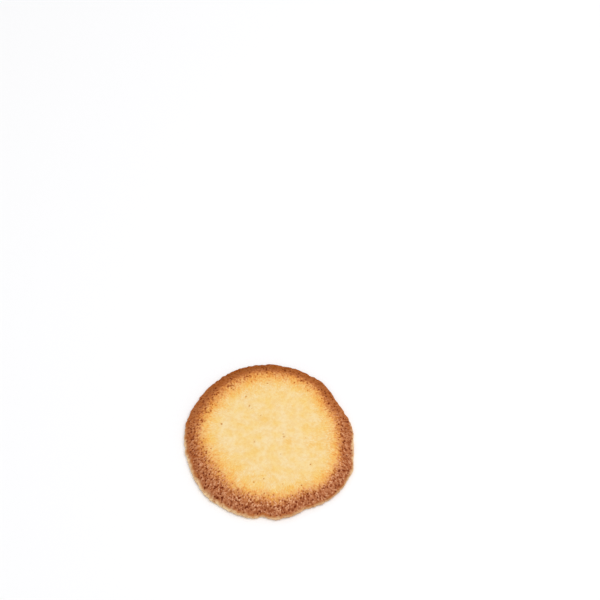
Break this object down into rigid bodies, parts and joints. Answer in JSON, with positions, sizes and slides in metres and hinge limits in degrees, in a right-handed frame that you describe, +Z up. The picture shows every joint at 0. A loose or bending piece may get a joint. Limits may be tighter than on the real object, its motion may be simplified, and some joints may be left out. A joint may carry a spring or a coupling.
{
  "type": "almond tuile biscuit",
  "caption": "Thin, nearly round tuile biscuit, flat underneath, with a pale level middle and a browned, pitted rim that slopes down to a thin uneven edge.",
  "frame": {"origin": "middle of the flat underside, under the centre of the bounding box", "axes": "+Z up through the thickness, +X to the right and +Y to the back as the biscuit is seen, +Y along its slightly longer diameter"},
  "size_m": [0.0698, 0.0734, 0.0057],
  "materials": {
    "baked_crust": "matt baked crust, pale gold in the middle and brown at the rim"
  },
  "bodies": {
    "root": {"tuile": "baked_crust"}
  },
  "joints": []
}
